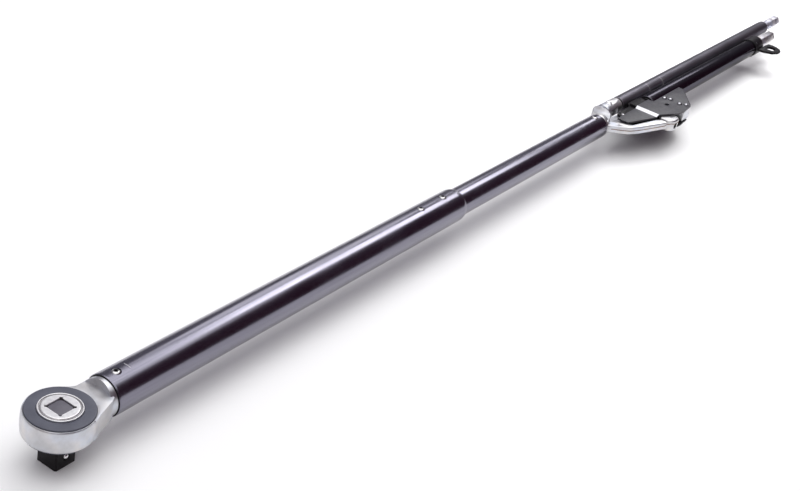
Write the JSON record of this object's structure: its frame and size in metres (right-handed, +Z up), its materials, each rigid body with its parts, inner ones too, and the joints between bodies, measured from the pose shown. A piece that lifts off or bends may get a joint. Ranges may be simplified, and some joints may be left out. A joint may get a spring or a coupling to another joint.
{
  "type": "torque wrench",
  "caption": "Long break-back torque wrench: square-drive ratchet head, stepped tube, pivoted handle with side plates, and a spring tube with a hexagon adjuster.",
  "frame": {"origin": "centre of the square drive's end face, on the ratchet's axis", "axes": "+X along the tube from the ratchet head to the handle, +Z up along the ratchet's axis away from the drive"},
  "size_m": [2.0534, 0.1169, 0.071],
  "materials": {
    "zinc_plate": "satin zinc plate",
    "bright_steel": "bright",
    "gloss_black": "semi-gloss black",
    "satin_black": "satin black",
    "charcoal_oxide": "dark oxide",
    "black_oxide": "black oxide",
    "spring_steel": "plain"
  },
  "bodies": {
    "beam": {"ratchet_head": "zinc_plate", "top_cover": "charcoal_oxide", "bottom_cover": "charcoal_oxide", "outer_tube": "gloss_black", "inner_tube": "gloss_black", "head_screw": "charcoal_oxide", "sleeve_screw_1": "bright_steel", "sleeve_screw_2": "bright_steel", "end_screw": "bright_steel", "end_forging": "zinc_plate", "trip_screw": "charcoal_oxide", "pivot_pin": "bright_steel", "eye_pin": "bright_steel", "pawl_pin_a": "bright_steel", "pawl_pin_b": "bright_steel", "pawl_spring_a": "spring_steel", "pawl_spring_b": "spring_steel"},
    "ratchet": {"ratchet_gear": "bright_steel", "square_drive": "black_oxide", "detent_spring": "spring_steel"},
    "detent": {"detent_ball": "bright_steel"},
    "pawl_a": {"pawl_a": "spring_steel"},
    "pawl_b": {"pawl_b": "spring_steel"},
    "handle": {"handle_lever": "satin_black", "top_plate": "satin_black", "bottom_plate": "satin_black", "plate_rivet_1": "satin_black", "plate_rivet_2": "satin_black", "plate_rivet_3": "satin_black", "plate_rivet_4": "satin_black", "spacer_block": "zinc_plate", "latch_pin": "bright_steel", "latch_spring": "spring_steel", "handle_tube": "gloss_black", "spring_tube": "gloss_black", "end_clamp": "satin_black", "clamp_screw": "bright_steel", "end_plug": "zinc_plate", "front_bush": "black_oxide", "load_spring": "spring_steel"},
    "latch": {"trip_latch": "spring_steel", "latch_roller": "bright_steel", "roller_pin": "bright_steel"},
    "link": {"link_clevis": "zinc_plate", "tension_rod": "bright_steel"},
    "seat": {"spring_seat": "zinc_plate"},
    "adjuster": {"torque_adjuster": "zinc_plate"}
  },
  "joints": [
    {"name": "ratchet_spin", "type": "hinge", "parent": "beam", "child": "ratchet", "pos_m": [0, 0, 0.047], "axis": [0, 0, 1], "continuous": true},
    {"name": "detent_press", "type": "slide", "parent": "ratchet", "child": "detent", "axis": [0, 1, 0], "range_m": [0, 0.0012], "stiffness_N_per_m": 500, "springref_m": -0.002, "deforming": ["detent_spring"]},
    {"name": "pawl_a_lift", "type": "hinge", "parent": "beam", "child": "pawl_a", "pos_m": [0.02511, -0.01548, 0.047], "axis": [0, 0, 1], "range_deg": [0, 6], "stiffness_Nm_per_rad": 0.05, "springref_deg": -17.19},
    {"name": "pawl_b_lift", "type": "hinge", "parent": "beam", "child": "pawl_b", "pos_m": [0.02143, 0.02027, 0.047], "axis": [0, 0, 1], "range_deg": [0, 6], "stiffness_Nm_per_rad": 0.05, "springref_deg": -17.19},
    {"name": "handle_break", "type": "hinge", "parent": "beam", "child": "handle", "pos_m": [1.195, -0.0118, 0.047], "axis": [0, 0, -1], "range_deg": [0, 8], "stiffness_Nm_per_rad": 60, "springref_deg": -8.59},
    {"name": "latch_swing", "type": "hinge", "parent": "handle", "child": "latch", "pos_m": [1.292, -0.046, 0.047], "axis": [0, 0, -1], "range_deg": [0, 18]},
    {"name": "link_swing", "type": "hinge", "parent": "beam", "child": "link", "pos_m": [1.203, 0.0196, 0.047], "axis": [0, 0, -1], "range_deg": [0, 8.1]},
    {"name": "seat_travel", "type": "slide", "parent": "link", "child": "seat", "axis": [-1, 0, 0], "range_m": [0, 0.015], "deforming": ["load_spring"]},
    {"name": "adjuster_turn", "type": "hinge", "parent": "link", "child": "adjuster", "pos_m": [1.99, 0.0196, 0.047], "axis": [1, 0, 0], "range_deg": [0, 3600]}
  ],
  "couplings": [
    {"joint": "latch_swing", "follows": "handle_break", "ratio": 2.23},
    {"joint": "link_swing", "follows": "handle_break", "ratio": 1.0079},
    {"joint": "seat_travel", "follows": "adjuster_turn", "m_per_rad": 0.00023873}
  ]
}
